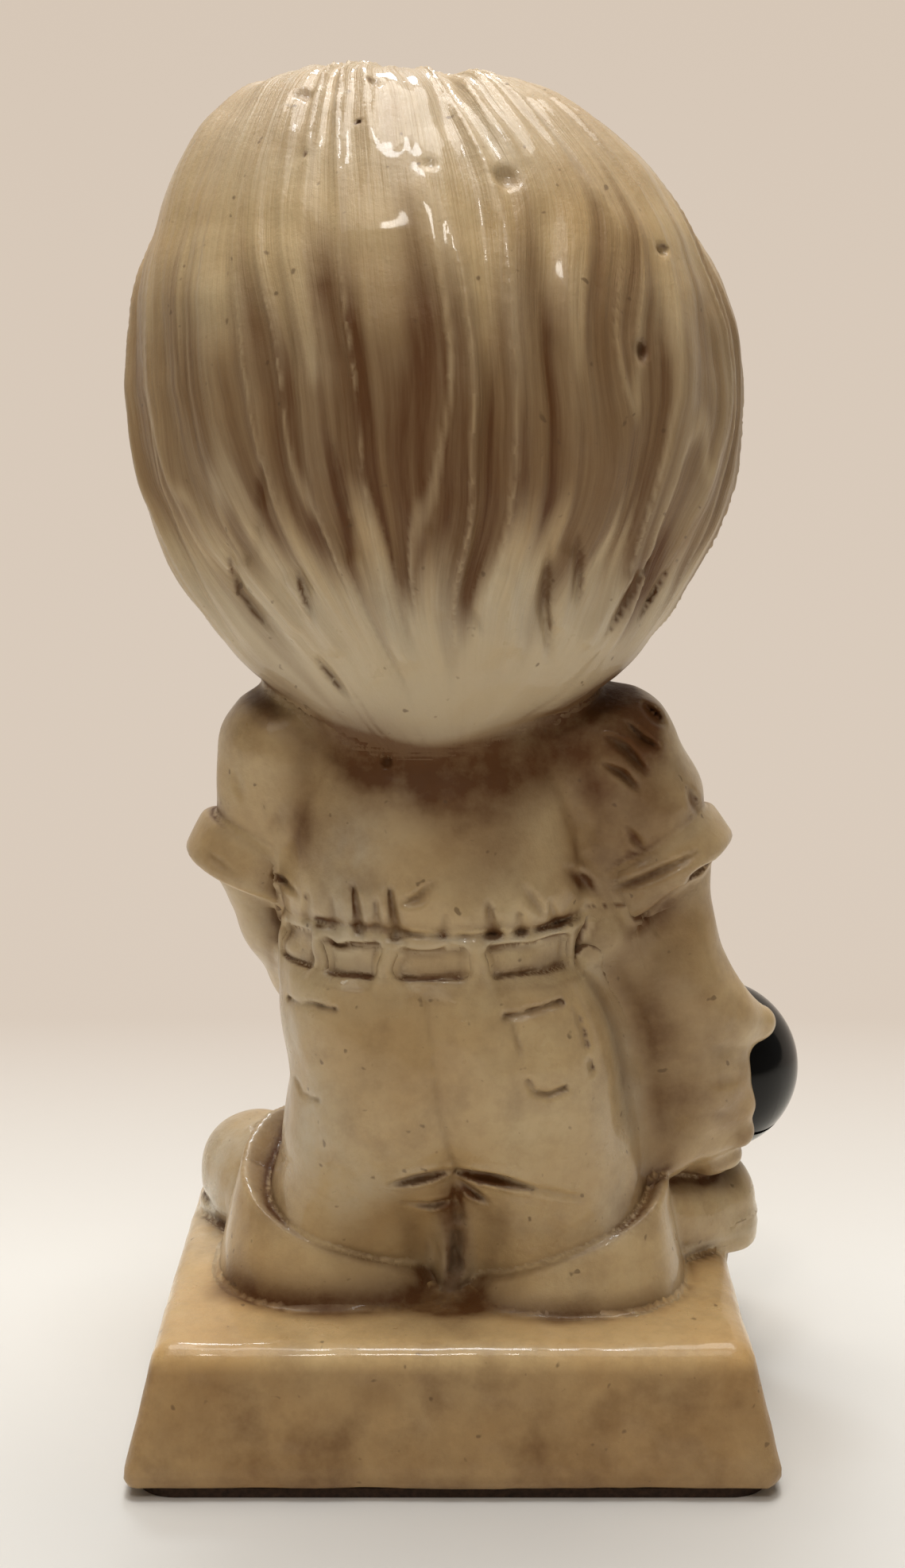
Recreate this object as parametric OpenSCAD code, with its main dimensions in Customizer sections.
// Cast resin figurine: a standing child with a mop of hair, jeans and rolled sleeves, on a tapered
// plinth, with a two-shell plastic ball pinned to the right hand and a pad under the foot.
// Millimetres. +Z is up, the figure faces -Y, its left side is +X.
// The origin is the centre of the pad's underside.

/* [Plinth] */
// Width of the plinth at its foot
plinth_w = 66; // [60:1:80]
// Depth of the plinth at its foot
plinth_d = 56; // [52:1:70]
// Height of the plinth
plinth_h = 14; // [10:0.5:20]
// How far each side of the plinth leans in between its foot and its top
plinth_lean = 3.4; // [1:0.1:4]
// Radius of the plinth's rounded edges
plinth_edge_r = 1.8; // [1:0.1:3]
// Thickness of the pad under the plinth
pad_t = 1; // [0.6:0.1:2]
// Inset of the pad's edge from the plinth's foot
pad_inset = 1.4; // [0.5:0.1:4]
// Radius of the pad's corners
pad_corner_r = 4; // [2:0.5:8]

/* [Shoes] */
// Thickness of each sole
sole_t = 2; // [1:0.1:3]
// How far a sole stands out past its upper
sole_welt = 0.7; // [0.3:0.1:1.5]
// Half width of an upper at its toe
toe_r = 6; // [5:0.1:7.5]
// Half width of an upper at its heel
heel_r = 6; // [5:0.1:7]
// Length of a shoe between the centres of its heel and its toe
shoe_l = 25; // [22:0.5:28]
// Angle of the left toe away from straight ahead
left_toe_out = 27; // [15:1:40]
// Angle of the right toe away from straight ahead
right_toe_out = 48; // [35:1:60]

/* [Jeans] */
// Height of the jeans from the plinth's top to the waistband
leg_h = 34.5; // [30:0.5:40]
// Half width of one leg at the hip
hip_rx = 10.8; // [10:0.1:12]
// Half depth of one leg at the hip
hip_ry = 16.2; // [15:0.1:18]
// How much slimmer the left leg is at the hip, because the figure rests on its right leg
left_leg_slim = 0.8; // [0:0.1:1.2]
// Distance between the middles of the legs at the ankle
stance = 24; // [22:0.5:27]
// Half width of one leg at the ankle
ankle_r = 9.4; // [8.5:0.1:10.2]
// Height of each turned-up hem
turn_up_h = 8; // [6:0.5:10]
// Half width of each turned-up hem
turn_up_r = 12.2; // [11.4:0.1:13.5]
// Angle at which a turned-up hem rises towards the toe
turn_up_tilt = 13; // [6:1:18]

/* [Waist] */
// Half width of the waistband
waist_rx = 16; // [15:0.1:18]
// Half depth of the waistband
waist_ry = 15.4; // [14.5:0.1:17]
// Height of the waistband
waistband_h = 6; // [5:0.1:8]
// Height of the belt
belt_h = 3.2; // [2.4:0.1:4]
// Thickness of the belt
belt_t = 0.9; // [0.6:0.1:1.4]
// How far the belt lies below the waistband's face
belt_sink = 0.3; // [0.1:0.1:0.6]
// Number of belt loops round the waist
loop_count = 12; // [8:1:14]
// Width of a belt loop
loop_w = 1.8; // [1.2:0.1:2.6]
// How far a belt loop stands out from the waistband
loop_out = 0.8; // [0.5:0.1:1.4]
// Width of the belt's buckle
buckle_w = 6; // [5:0.2:7]
// Thickness of the buckle's frame
buckle_t = 1; // [0.8:0.1:1.6]

/* [Shirt] */
// Height of the shirt from the waistband to the neck
shirt_h = 22.5; // [20:0.5:26]
// Half width of the chest
chest_rx = 16.2; // [15:0.1:18]
// Half depth of the chest
chest_ry = 15; // [14:0.1:16.5]
// Angle at which the head's seat falls towards the back
neck_tilt = 16; // [8:1:20]
// Radius of a sleeve at the shoulder
sleeve_r = 7.8; // [7:0.1:8.6]
// Outer radius of a rolled sleeve cuff
cuff_r = 7.6; // [7:0.1:8.6]
// Height of a rolled sleeve cuff
cuff_h = 5.4; // [4:0.1:7]
// Width across the collar's front
collar_w = 16; // [14:0.5:19]
// Length of the collar's points
collar_l = 7; // [5:0.2:9]
// Thickness of the collar
collar_t = 1.2; // [0.9:0.1:1.6]
// Diameter of a shirt button
button_d = 2.2; // [1.6:0.1:3]
// Number of shirt buttons
button_count = 3; // [2:1:4]

/* [Arms] */
// How far the left elbow stands out from the body's middle
left_elbow_out = 18.8; // [18:0.1:21]
// How far the right elbow stands out from the body's middle
right_elbow_out = 23; // [21.5:0.1:25]
// Drop from the neck to the elbows
upper_arm_h = 19; // [17.5:0.1:20.5]
// Length of the right forearm from the elbow to the wrist
forearm_l = 12; // [10:0.2:14]
// Drop from the jeans' top to the pocket that the left hand is in
pocket_drop = 9; // [7:0.2:12]
// How far the left hand's pocket stands out from the body's middle
pocket_out = 11.3; // [10:0.1:12.5]
// Radius of a forearm below its cuff
forearm_r = 5.2; // [4.6:0.1:5.8]
// Radius of a wrist
wrist_r = 4.3; // [3.8:0.1:5]
// Radius of a finger
finger_r = 1.9; // [1.6:0.05:2.1]
// Radius of the thumb
thumb_r = 2.3; // [1.9:0.1:2.7]

/* [Head] */
// Width of the hair
hair_w = 61.5; // [56:0.5:66]
// Depth of the hair
hair_d = 54; // [50:0.5:60]
// Height of the hair from its lowest to its highest point
hair_h = 66; // [62:0.5:72]
// Height of the hair's lowest point below the shirt's neck
hair_drop = 4; // [3:0.5:6]
// Width of the mass of hair above the shirt's neck
nape_w = 42; // [38:0.5:44]
// Width of the tail of hair that hangs over the shirt at the nape
tail_w = 22; // [18:0.5:25]
// Height of that tail
tail_h = 18; // [15:0.5:20]
// Number of locks round the hair
lock_count = 26; // [16:1:30]
// Depth of the grooves between the locks
lock_depth = 1.3; // [0.6:0.1:2]
// Half width of the face
face_rx = 25; // [23:0.5:26.5]
// Height of the face above its middle
brow_rz = 30; // [28:0.5:32]
// Height of the face below its middle
chin_rz = 19.5; // [18:0.5:21]
// How far the face stands forward of the head's middle
face_out = 26; // [24:0.5:28]
// Height of the chin above the neck's middle
chin_over_neck = 1.5; // [0.5:0.1:3]
// How far the nose stands out from the face
nose_out = 3.4; // [2:0.2:5]

/* [Ball] */
// Diameter of the ball
ball_d = 19; // [17:0.5:21]
// Wall of the ball's shells
ball_wall = 1.8; // [1.4:0.1:2.4]
// Width and depth of the line where the ball's shells meet
seam = 0.3; // [0.2:0.05:0.5]
// Diameter of the pin that holds the ball
pin_d = 2; // [1.6:0.1:2.6]
// Length of the pin in the palm
pin_in_palm = 3.5; // [2.5:0.1:4.5]
// Clearance between parts that slide together
fit = 0.05; // [0.03:0.01:0.1]

/* [Hidden] */
$fn = 64;

// Sides of the figure: its left is +X
LEFT = 1;
RIGHT = -1;

// Colours of the resin, the ball, the pin and the pad
resin = [0.76, 0.66, 0.48];
resin_pale = [0.82, 0.74, 0.57];
resin_dark = [0.62, 0.50, 0.34];
ball_black = [0.03, 0.03, 0.03];
steel = [0.6, 0.6, 0.62];
felt = [0.16, 0.09, 0.06];

// Heights, from the floor up
ground = pad_t + plinth_h;
waist_z = ground + leg_h;
waistband_top = waist_z + waistband_h;
neck_z = waistband_top + shirt_h;
head_z = neck_z - hair_drop + hair_h / 2;

// The body stands a little to the left of the plinth's middle, and leans back a little
body = [2, 1.4];

// Ring and segment counts of the modelled forms
BODY_SIDES = 28;
LIMB_SIDES = 16;
FINGER_SIDES = 12;
LOCK_SIDES = 4;
HAIR_RINGS = 22;
FACE_SIDES = 40;
FACE_RINGS = 42;
CAP_RINGS = 2;
EGG_CAP = 80;
EGG_STEP = 20;
BIG = 200;

// Plain helpers
function lerp(a, b, t) = a + (b - a) * t;
function clamp01(t) = max(0, min(1, t));
function smooth(a, b, t) = let (u = clamp01((t - a) / (b - a))) u * u * (3 - 2 * u);
function bump(d, w) = exp(-d * d / (w * w));
function unit(v) = v / norm(v);
function mean(l) = [for (v = l) 1] * l / len(l);
function flatten(l) = [for (a = l) for (b = a) b];
function power(v, e) = sign(v) * pow(abs(v), e);

// One level ring with rounded corners: p is 2 for an ellipse and more for a squarer ring
function ring(c, rx, ry, p = 2, n = BODY_SIDES) =
    [for (i = [0 : n - 1]) let (t = 360 * i / n)
        [c.x + rx * power(cos(t), 2 / p), c.y + ry * power(sin(t), 2 / p), c.z]];

// The same ring as a flat outline
function outline(rx, ry, p = 2, n = 2 * BODY_SIDES) =
    [for (v = ring([0, 0, 0], rx, ry, p, n)) [v.x, v.y]];

// Closed solid through rings that all have the same number of points; mirrored ones split their
// faces alike on both halves of the rings
module loft(rings, mirrored = false) {
    n = len(rings[0]);
    m = len(rings);
    points = concat(flatten(rings), [mean(rings[0]), mean(rings[m - 1])]);
    sides = [for (i = [0 : m - 2], j = [0 : n - 1])
        let (a = i * n + j, b = i * n + (j + 1) % n, c = b + n, d = a + n)
        each mirrored && j >= n / 2 ? [[a, d, b], [d, c, b]] : [[a, d, c], [a, c, b]]];
    caps = [for (j = [0 : n - 1]) let (k = (j + 1) % n)
        each [[n * m, j, k], [n * m + 1, (m - 1) * n + k, (m - 1) * n + j]]];
    polyhedron(points, concat(sides, caps), convexity = 8);
}

// Smooth curve through hand-placed points, with the radius as a fourth value
function spline_point(p, i, t) =
    let (n = len(p) - 1, a = p[max(i - 1, 0)], b = p[i], c = p[min(i + 1, n)], d = p[min(i + 2, n)])
    0.5 * (2 * b + (c - a) * t + (2 * a - 5 * b + 4 * c - d) * t * t
        + (3 * b - a - 3 * c + d) * t * t * t);
function spline(p, steps) =
    concat([for (i = [0 : len(p) - 2], s = [0 : steps - 1]) spline_point(p, i, s / steps)],
        [p[len(p) - 1]]);
function place(v) = [v.x, v.y, v.z];

// Round limb along a curve of [x, y, z, radius], with a domed start and a domed or flat end
module limb(p, steps = 2, n = LIMB_SIDES, domed = true) {
    c = spline(p, steps);
    m = len(c) - 1;
    along = [for (i = [0 : m]) unit(place(c[min(i + 1, m)]) - place(c[max(i - 1, 0)]))];
    side = [for (a = along) unit(cross(a, abs(a.y) > 0.8 ? [1, 0, 0] : [0, 1, 0]))];
    up = [for (i = [0 : m]) cross(along[i], side[i])];
    disc = function (i, back, r) [for (j = [0 : n - 1]) let (t = 360 * j / n)
        place(c[i]) + along[i] * back + r * (cos(t) * side[i] + sin(t) * up[i])];
    dome = [for (k = [1 : CAP_RINGS]) 90 * k / (CAP_RINGS + 1)];
    first = [for (k = [CAP_RINGS - 1 : -1 : 0]) disc(0, -c[0][3] * sin(dome[k]), c[0][3] * cos(dome[k]))];
    last = [for (k = [0 : CAP_RINGS - 1]) disc(m, c[m][3] * sin(dome[k]), c[m][3] * cos(dome[k]))];
    loft(concat(first, [for (i = [0 : m]) disc(i, 0, c[i][3])], domed ? last : []));
}

// Egg-shaped mass with its middle at a place and its half sizes along the three axes
module egg(at, half) {
    loft([for (a = [-EGG_CAP : EGG_STEP : EGG_CAP]) ring(at + [0, 0, half.z * sin(a)], half.x * cos(a), half.y * cos(a))]);
}

// Everything below the head's seat, and everything below a level
module below_neck() {
    translate([body.x, body.y, neck_z]) rotate([-neck_tilt, 0, 0])
        translate([-BIG / 2, -BIG / 2, -BIG]) cube(BIG);
}
module above_neck() {
    translate([body.x, body.y, neck_z]) rotate([-neck_tilt, 0, 0])
        translate([-BIG / 2, -BIG / 2, 0]) cube(BIG);
}
module below(z) {
    translate([-BIG / 2, -BIG / 2, z - BIG]) cube(BIG);
}

// Plinth and pad
module base_pad() {
    w = plinth_w - 2 * pad_inset;
    d = plinth_d - 2 * pad_inset;
    color(felt) linear_extrude(pad_t) {
        square([w - 2 * pad_corner_r, d], center = true);
        square([w, d - 2 * pad_corner_r], center = true);
        for (x = [-1, 1], y = [-1, 1])
            translate([x * (w / 2 - pad_corner_r), y * (d / 2 - pad_corner_r)]) circle(pad_corner_r);
    }
}
module plinth() {
    foot = [plinth_w / 2 - plinth_edge_r, plinth_d / 2 - plinth_edge_r];
    top = foot - [plinth_lean, plinth_lean];
    color(resin) hull() for (x = [-1, 1], y = [-1, 1]) {
        translate([x * foot.x, y * foot.y, pad_t]) cylinder(r = plinth_edge_r, h = plinth_edge_r, $fn = 32);
        translate([x * top.x, y * top.y, ground - plinth_edge_r]) intersection() {
            sphere(plinth_edge_r, $fn = 32);
            translate([0, 0, plinth_edge_r / 2]) cube([3, 3, 1] * plinth_edge_r, center = true);
        }
        translate([x * top.x, y * top.y, ground - plinth_edge_r]) cylinder(r = plinth_edge_r / 2, h = plinth_edge_r);
    }
}

// Shoes: each is laid out along +Y from its heel, then turned and set on the plinth
function heel_at(s) = [s * (stance / 2 - 1), body.y + 6];
toe_rise = 0.6;
instep_rise = 1;
function toe_out(s) = s == LEFT ? left_toe_out : right_toe_out;
module on_foot(s) {
    translate([heel_at(s).x, heel_at(s).y, ground]) rotate(180 + s * toe_out(s)) children();
}
module sole(s) {
    color(resin_dark) on_foot(s) linear_extrude(sole_t) hull() {
        circle(heel_r + sole_welt, $fn = 32);
        translate([0, shoe_l]) circle(toe_r + sole_welt, $fn = 32);
    }
}
module shoe_form(s) {
    on_foot(s) limb([
        [0, heel_r, sole_t, heel_r],
        [0, shoe_l * 0.35, sole_t + instep_rise, heel_r],
        [0, shoe_l * 0.7, sole_t + instep_rise, (heel_r + toe_r) / 2],
        [0, shoe_l, sole_t + toe_rise, toe_r]]);
}
module shoe(s) {
    color(resin_pale) difference() {
        shoe_form(s);
        below(ground + sole_t);
        turn_up_form(s, heel_r);
        jeans_form();
    }
}

// Jeans: two legs that run together at the hips
function ankle_at(s) = [s * stance / 2, body.y + 1.4, ground];
hem_z = ground + sole_t;
function leg_side(s, t) =
    let (hip_x = body.x + s * (waist_rx - hip_rx + 0.2))
    lerp(ankle_at(s).x, hip_x, s == LEFT ? smooth(-0.05, 0.62, t) : t);
function leg_ring(s, t, rx, ry, dy) =
    let (slim = s == LEFT ? left_leg_slim * smooth(0, 0.4, t) : 0)
    ring([leg_side(s, t), body.y + dy, lerp(hem_z, waist_z, t)], rx - slim, ry, 2.5, 24);
module leg(s) {
    loft([
        leg_ring(s, 0.00, ankle_r - 0.4, ankle_r + 0.4, 1.6),
        leg_ring(s, 0.22, ankle_r + 0.5, hip_ry - 3.6, 1.4),
        leg_ring(s, 0.42, hip_rx - 0.2, hip_ry - 1, 1.2),
        leg_ring(s, 0.63, hip_rx, hip_ry, 1),
        leg_ring(s, 0.82, hip_rx - 0.1, hip_ry - 0.3, 0.4),
        leg_ring(s, 1.00, hip_rx - 0.7, waist_ry - 0.5, 0)]);
}
module seat() {
    at = function (t) [body.x * t, body.y + 0.4, lerp(hem_z, waist_z, t)];
    loft([
        ring(at(0.34), hip_rx * 0.5, hip_ry - 5, 2.2, 24),
        ring(at(0.46), hip_rx, hip_ry - 1.6, 2.3, 24),
        ring(at(0.68), waist_rx - 0.6, hip_ry - 0.4, 2.4, 24),
        ring(at(1.00), waist_rx - 1.2, waist_ry - 0.8, 2.4, 24)]);
}
module jeans_form() {
    leg(LEFT);
    leg(RIGHT);
    seat();
}
module jeans() {
    color(resin) jeans_form();
}
// A turned-up hem, closed across; with a rise it also takes in the space above its mouth
module turn_up_form(s, rise = 0) {
    mouth = [turn_up_r - 0.7, turn_up_r];
    difference() {
        translate([ankle_at(s).x, ankle_at(s).y, ground + turn_up_h / 2 - 1.2])
            rotate([0, 0, s * (toe_out(s) - 10)]) rotate([-turn_up_tilt, 0, 0]) loft([
                ring([0, 0, -turn_up_h / 2], turn_up_r - 2.2, turn_up_r - 1.8, 2.2, 24),
                ring([0, 0, -turn_up_h / 4], turn_up_r - 0.5, turn_up_r, 2.2, 24),
                ring([0, 0, turn_up_h / 4], turn_up_r, turn_up_r + 0.6, 2.2, 24),
                ring([0, 0, turn_up_h / 2], mouth.x, mouth.y, 2.2, 24),
                if (rise > 0) ring([0, 0, turn_up_h / 2 + rise], mouth.x, mouth.y, 2.2, 24)]);
        below(ground);
    }
}
module turn_up(s) {
    color(resin_pale) difference() {
        turn_up_form(s);
        jeans_form();
        if (s == RIGHT) turn_up_form(LEFT);
        sole(s);
    }
}

// Waist
module round_waist(z, h, inset) {
    translate([body.x, body.y, z]) linear_extrude(h)
        polygon(outline(waist_rx - inset, waist_ry - inset, 2.4));
}
belt_z = waist_z + (waistband_h - belt_h) / 2;
module waistband() {
    color(resin) difference() {
        round_waist(waist_z, waistband_h, 0);
        difference() {
            round_waist(belt_z, belt_h, -1);
            round_waist(belt_z, belt_h, belt_sink + belt_t);
        }
    }
}
module belt() {
    color(resin_dark) difference() {
        round_waist(belt_z, belt_h, belt_sink);
        round_waist(belt_z, belt_h, belt_sink + belt_t);
    }
}
module belt_loops() {
    first = 90 + 180 / loop_count;
    color(resin) difference() {
        intersection() {
            round_waist(waist_z, waistband_h, -loop_out);
            for (i = [0 : loop_count - 1])
                translate([body.x, body.y, waist_z]) rotate(first + 360 * i / loop_count)
                    translate([0, -loop_w / 2, 0]) cube([waist_rx + waist_ry, loop_w, waistband_h]);
        }
        round_waist(waist_z, waistband_h, 0);
    }
}
module belt_buckle() {
    h = belt_h + 1.4;
    z = belt_z + belt_h / 2;
    color(resin_pale) difference() {
        translate([body.x, body.y - waist_ry, z]) rotate([90, 0, 0]) linear_extrude(2 * buckle_t, center = true)
            difference() {
                square([buckle_w, h], center = true);
                square([buckle_w - 2 * buckle_t, h - 2 * buckle_t], center = true);
            }
        round_waist(waist_z, waistband_h, 0);
    }
}

// Shirt
module shirt_form() {
    at = function (t) [body.x, body.y, lerp(waistband_top, neck_z + 8, t)];
    loft([
        ring(at(0.00), waist_rx - 0.6, waist_ry - 0.6, 2.3),
        ring(at(0.10), chest_rx + 0.2, chest_ry + 0.6, 2.3),
        ring(at(0.30), chest_rx, chest_ry + 0.2, 2.3),
        ring(at(0.50), chest_rx, chest_ry - 0.6, 2.3),
        ring(at(0.72), chest_rx - 0.4, chest_ry - 2, 2.3),
        ring(at(1.00), chest_rx - 3, chest_ry - 4, 2.2)]);
}
module shirt() {
    color(resin) difference() {
        shirt_form();
        above_neck();
        nape_form();
    }
}
module shirt_collar() {
    top = neck_z + 0.8 * chest_ry * tan(neck_tilt);
    front = body.y - 0.85 * chest_ry;
    color(resin_pale) difference() {
        for (s = [LEFT, RIGHT]) hull() {
            translate([body.x + s * 0.1 * collar_w, front, top]) sphere(collar_t, $fn = 12);
            translate([body.x + s * 0.6 * collar_w, front + 0.16 * collar_w, top]) sphere(collar_t, $fn = 12);
            translate([body.x + s * 0.4 * collar_w, front - collar_t, top - collar_l]) sphere(collar_t, $fn = 12);
        }
        shirt_form();
        above_neck();
        face_form();
    }
}
module shirt_buttons() {
    pitch = shirt_h * 0.22;
    color(resin_dark) difference() {
        for (i = [0 : button_count - 1])
            translate([body.x, body.y, waistband_top + pitch * (i + 0.8)])
                rotate([90, 0, 0]) cylinder(d = button_d, h = chest_ry + 1.1);
        shirt_form();
    }
}

// Sleeves, cuffs and forearms
function shoulder(s) = [body.x + s * 0.94 * chest_rx, body.y + 0.04 * chest_ry, neck_z - 0.64 * sleeve_r];
function elbow(s) = s == LEFT ? [body.x + left_elbow_out, body.y - 0.27 * forearm_r, neck_z - upper_arm_h]
    : [body.x - right_elbow_out, body.y - 0.08 * forearm_r, neck_z - upper_arm_h];
function wrist() = elbow(RIGHT) + forearm_l * unit([-0.18, 0.07, -1]);
pocket = [body.x + pocket_out, body.y - hip_ry + 1.7 * wrist_r, waist_z - pocket_drop];
function to_pocket(t, r) = let (p = lerp(elbow(LEFT), pocket, t) + forearm_r * sin(180 * t) * [0.3, 0.5, 0.1])
    [p.x, p.y, p.z, r];
function to_wrist(t, r) = let (p = lerp(elbow(RIGHT), wrist(), t)) [p.x, p.y, p.z, r];
function cuff_lean(s) = s == LEFT ? [0, 24, 0] : [0, -28, 0];
module sleeve_form(s) {
    a = shoulder(s);
    b = elbow(s);
    limb([
        [a.x - s * 0.6 * sleeve_r, a.y, a.z, 0.8 * sleeve_r],
        [a.x, a.y, a.z - 0.12 * sleeve_r, sleeve_r],
        [lerp(a.x, b.x, 0.6), a.y, lerp(a.z, b.z, 0.45), sleeve_r],
        [b.x, b.y, b.z, 0.87 * sleeve_r]], domed = false);
}
module cuff_form(s) {
    translate(elbow(s)) rotate(cuff_lean(s)) loft([
        ring([0, 0, -cuff_h / 2], cuff_r - 1.2, cuff_r - 1.6, 2, 20),
        ring([0, 0, -cuff_h / 5], cuff_r, cuff_r - 0.4, 2, 20),
        ring([0, 0, cuff_h / 5], cuff_r + 0.5, cuff_r, 2, 20),
        ring([0, 0, cuff_h / 2], cuff_r - 0.6, cuff_r - 0.8, 2, 20)]);
}
module forearm_form(s) {
    if (s == LEFT)
        limb([to_pocket(0, forearm_r), to_pocket(0.4, forearm_r), to_pocket(0.75, wrist_r), to_pocket(1, wrist_r)]);
    else
        limb([to_wrist(0, forearm_r), to_wrist(0.5, forearm_r), to_wrist(1, 1.1 * wrist_r)]);
}
module sleeve(s) {
    color(resin) difference() {
        sleeve_form(s);
        shirt_form();
        cuff_form(s);
        forearm_form(s);
        above_neck();
        nape_form();
    }
}
module sleeve_cuff(s) {
    color(resin_pale) difference() {
        cuff_form(s);
        forearm_form(s);
        shirt_form();
        round_waist(waist_z, waistband_h, -loop_out);
    }
}
module left_forearm() {
    color(resin_pale) difference() {
        forearm_form(LEFT);
        jeans_form();
        round_waist(waist_z, waistband_h, -loop_out);
        shirt_form();
    }
}
module right_forearm() {
    color(resin_pale) difference() {
        forearm_form(RIGHT);
        jeans_form();
        round_waist(waist_z, waistband_h, -loop_out);
        shirt_form();
    }
}

// Right hand, wrapped round the back of the ball
ball_r = ball_d / 2;
ball_gap = 0.3;
toe_dir = [-sin(right_toe_out), -cos(right_toe_out)];
ball_at = [heel_at(RIGHT).x + toe_dir.x * shoe_l + 0.6, heel_at(RIGHT).y + toe_dir.y * shoe_l,
    ground + sole_t + toe_rise + toe_r + ball_gap + ball_r];
function on_ball(lon, lat, out) =
    ball_at + (ball_r + out) * [-cos(lat) * sin(lon), cos(lat) * cos(lon), sin(lat)];
function finger(lat) = [for (lon = [-62, -30, 0, 26])
    let (c = on_ball(lon, lat, 0.85 * finger_r)) [c.x, c.y, c.z, finger_r * (lon > 0 ? 0.92 : 1)]];
finger_lats = [22, -2, -26, -50];
pin_dir = unit([0.28, 0.9, 0.34]);
palm_r = 2.4 * thumb_r;
module hand_form() {
    w = wrist();
    palm = on_ball(-40, 14, 0.62 * palm_r);
    low = on_ball(-50, -34, 0.5 * palm_r);
    limb([[w.x, w.y, w.z, 0.9 * wrist_r], [palm.x, palm.y, palm.z + palm_r / 2, palm_r],
        [low.x, low.y, low.z, 0.86 * palm_r]]);
    for (lat = finger_lats) limb(finger(lat), 2, FINGER_SIDES);
    tip = on_ball(24, 52, 0.8 * thumb_r);
    limb([[w.x, w.y, w.z - 0.33 * forearm_l, 1.25 * thumb_r],
        [lerp(w.x, tip.x, 0.55), lerp(w.y, tip.y, 0.4), tip.z + 0.6 * thumb_r, 1.1 * thumb_r],
        [tip.x, tip.y, tip.z, thumb_r]], 2, FINGER_SIDES);
}
module pin_bore(gap) {
    translate(ball_at) rotate([0, acos(pin_dir.z), atan2(pin_dir.y, pin_dir.x)])
        translate([0, 0, ball_r - ball_wall]) cylinder(d = pin_d + 2 * gap, h = ball_wall + pin_in_palm);
}
module right_hand() {
    color(resin_pale) difference() {
        hand_form();
        forearm_form(RIGHT);
        jeans_form();
        shoe_form(RIGHT);
        turn_up_form(RIGHT);
        translate(ball_at) sphere(ball_r);
        pin_bore(fit);
    }
}

// Ball: two moulded shells on a rabbet joint, and the pin that holds them to the palm
seam_tilt = [0, 40, 135];
module on_seam() {
    translate(ball_at) rotate([0, 0, seam_tilt.z]) rotate([0, seam_tilt.y, 0]) children();
}
module ball_half(inner_lip) {
    lip = ball_r - ball_wall / 2;
    inside = ball_r - ball_wall;
    rotate_extrude() difference() {
        union() {
            intersection() {
                circle(ball_r);
                square(ball_r);
            }
            if (inner_lip) translate([inside - 1, -ball_wall / 2]) square([lip - fit - inside + 1, ball_wall]);
        }
        circle(inside);
        translate([-BIG, -BIG / 2]) square([BIG, BIG]);
        if (!inner_lip) translate([0, -1]) square([lip, 1 + ball_wall / 2 + fit]);
        translate([ball_r - seam, 0]) square([2 * seam, seam]);
    }
}
module ball_upper_shell() {
    color(ball_black) difference() {
        on_seam() ball_half(false);
        pin_bore(fit);
    }
}
module ball_lower_shell() {
    color(ball_black) on_seam() mirror([0, 0, 1]) ball_half(true);
}
module ball_pin() {
    color(steel) pin_bore(0);
}

// Head: the face is an egg with its features raised on it, set into the mass of hair
function head_x(z) = body.x + 0.012 * (z - head_z) * (z > head_z ? 6 : 1);
face_mid = [body.x - 0.6, -face_out / 3, neck_z + chin_over_neck + chin_rz];
eye = [8.4, 0.8];
mouth_z = -11.6;
function both(x, z, sx, sz, at) = bump(norm([(x - at.x) / sx, (z - at.y) / sz]), 1)
    + bump(norm([(x + at.x) / sx, (z - at.y) / sz]), 1);
function nose(x, z) = nose_out * (0.4 * bump(x, 1.9) * smooth(3, -4, z) * smooth(-8.4, -5, z)
    + 0.6 * bump(norm([x / 2.9, (z + 5) / 2.3]), 1) + 0.22 * both(x, z, 1.3, 1.3, [2.7, -5.9]));
function mouth(x, z) = 0.9 * bump(norm([x / 5, (z - mouth_z - 1.5) / 1.5]), 1)
    - 1.1 * bump(norm([x / 6, (z - mouth_z - 0.02 * x * x) / 0.9]), 1)
    + 1.1 * bump(norm([x / 4.2, (z - mouth_z + 1.9) / 1.6]), 1);
function feature(x, z) = nose(x, z) + mouth(x, z)
    - 2.4 * both(x, z, 5.6, 4.4, eye) + 3 * both(x, z, 3.8, 3.2, eye)
    + 1.2 * both(x, z, 4.8, 1.6, eye + [0.6, 7.4])
    + 2.2 * both(x, z, 6.5, 6, [11.5, -7.5])
    + 3.6 * bump(norm([x / 6, (z + 15) / 4.4]), 1);
function face_point(az, pol) =
    let (rise = cos(pol),
        narrow = 1 - 0.16 * smooth(0, -0.9, rise),
        x = face_rx * narrow * sin(pol) * cos(az),
        y = (face_out + face_mid.y) * sin(pol) * sin(az),
        z = (rise > 0 ? brow_rz : chin_rz) * rise)
    face_mid + [x, y - smooth(2, 9, -y) * feature(x, z), z];
module face_form() {
    loft([for (i = [FACE_RINGS : -1 : 0]) let (pol = lerp(6, 174, i / FACE_RINGS))
        [for (j = [0 : FACE_SIDES - 1])
            let (u = 2 * j / FACE_SIDES - 1, az = 90 + 180 * (1 + sign(u) * pow(abs(u), 1.5)))
            face_point(az, pol)]], true);
}
module face() {
    color(resin_pale) difference() {
        face_form();
        shirt();
    }
}
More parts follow.
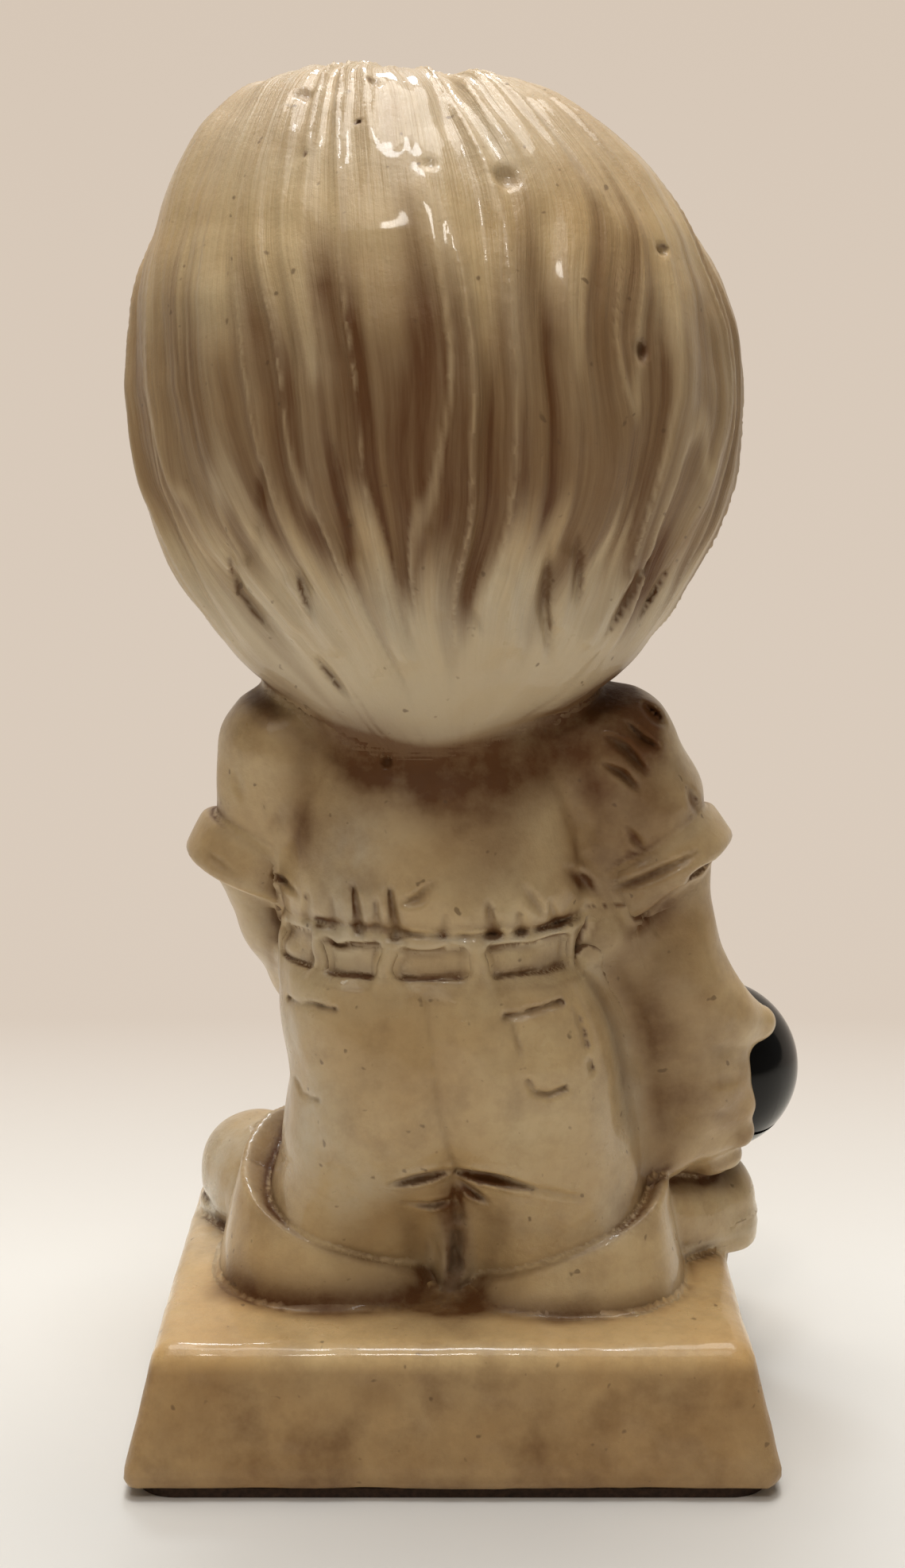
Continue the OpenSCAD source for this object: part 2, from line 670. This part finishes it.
function lock_ridge(j) = abs(sin(180 * j / LOCK_SIDES)) * (1 - 0.25 * (1 + sin(97 * floor(j / LOCK_SIDES))));
function hair_point(j, pol) =
    let (az = 360 * j / (LOCK_SIDES * lock_count) + 5 * sin(2 * pol),
        cut = lock_depth * (1 - lock_ridge(j)) * smooth(6, 40, pol),
        front = -sin(az),
        window = smooth(0.64, 0.78, front) * smooth(60, 71, pol - 110 * (1 - front)),
        z = hair_h / 2 * cos(pol),
        y = (hair_d / 2 - cut) * sin(pol) * sin(az))
    [head_x(head_z + z) + (hair_w / 2 - cut) * sin(pol) * cos(az) * lerp(1, 0.9, window),
        lerp(y, max(y, face_mid.y - 2), window), head_z + z];
module hair_form() {
    loft([for (i = [HAIR_RINGS : -1 : 0]) let (pol = lerp(7, 173, i / HAIR_RINGS))
        [for (j = [0 : LOCK_SIDES * lock_count - 1]) hair_point(j, pol)]]);
}
nape_x = body.x - 1;
nape_half = [nape_w / 2, 0.8 * chest_ry, 0.35 * nape_w];
tail_half = [tail_w / 2, 0.45 * chest_ry, tail_h / 2];
module nape_form() {
    egg([nape_x, body.y + 0.3 * nape_half.y, neck_z + 0.7 * nape_half.z], nape_half);
    egg([nape_x, body.y + 0.9 * tail_half.y, neck_z + 0.3 * tail_half.z], tail_half);
}
module hair() {
    color(resin) difference() {
        union() {
            difference() {
                hair_form();
                below_neck();
            }
            nape_form();
        }
        face_form();
    }
}

base_pad();
plinth();
sole(LEFT);  // left_sole
sole(RIGHT);  // right_sole
shoe(LEFT);  // left_shoe
shoe(RIGHT);  // right_shoe
turn_up(LEFT);  // left_turn_up
turn_up(RIGHT);  // right_turn_up
jeans();
waistband();
belt();
belt_loops();
belt_buckle();
shirt();
shirt_collar();
shirt_buttons();
sleeve(LEFT);  // left_sleeve
sleeve(RIGHT);  // right_sleeve
sleeve_cuff(LEFT);  // left_sleeve_cuff
sleeve_cuff(RIGHT);  // right_sleeve_cuff
left_forearm();
right_forearm();
right_hand();
face();
hair();
ball_upper_shell();
ball_lower_shell();
ball_pin();
